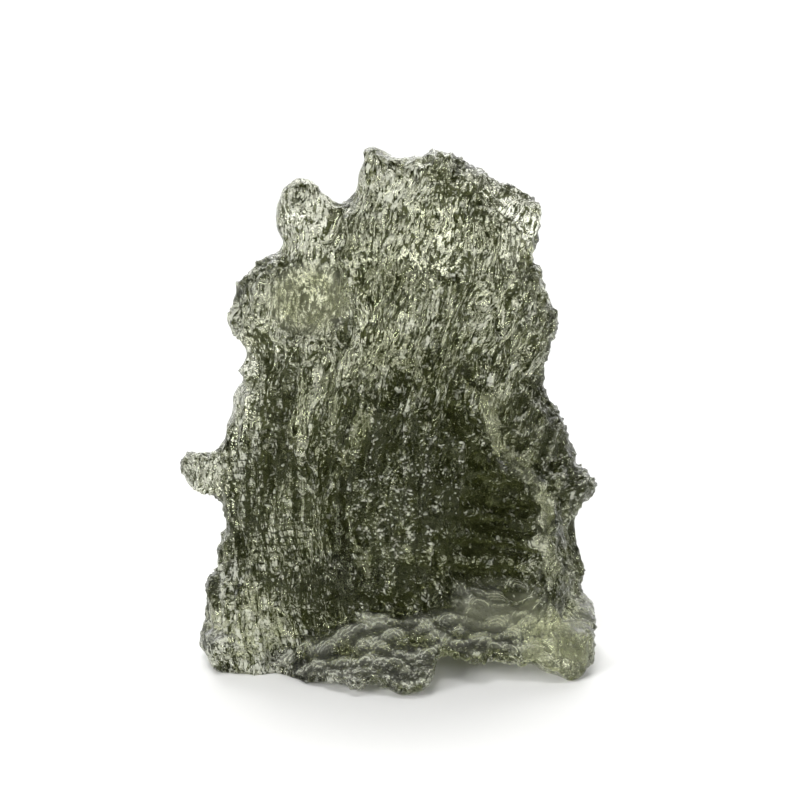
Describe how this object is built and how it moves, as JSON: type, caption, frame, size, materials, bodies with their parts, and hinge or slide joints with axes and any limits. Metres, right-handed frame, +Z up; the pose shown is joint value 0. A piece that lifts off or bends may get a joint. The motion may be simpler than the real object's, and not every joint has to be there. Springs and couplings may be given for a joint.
{
  "type": "moldavite",
  "caption": "Natural see-through green glass stone with etched ridges, pits and a deep hollow low on its front, standing on a shallow arched foot.",
  "frame": {"origin": "on the ground, under the middle of the stone's bounding box", "axes": "+Z up as the stone stands, along its longest side; -Y is the front, the side with the hollow and the shelf; X runs across its width"},
  "size_m": [0.024, 0.0146, 0.0292],
  "materials": {
    "green_glass": "natural etched glass surface, satin to glossy, olive green to grey green, nearly clear at thin edges"
  },
  "bodies": {
    "root": {"moldavite": "green_glass"}
  },
  "joints": []
}
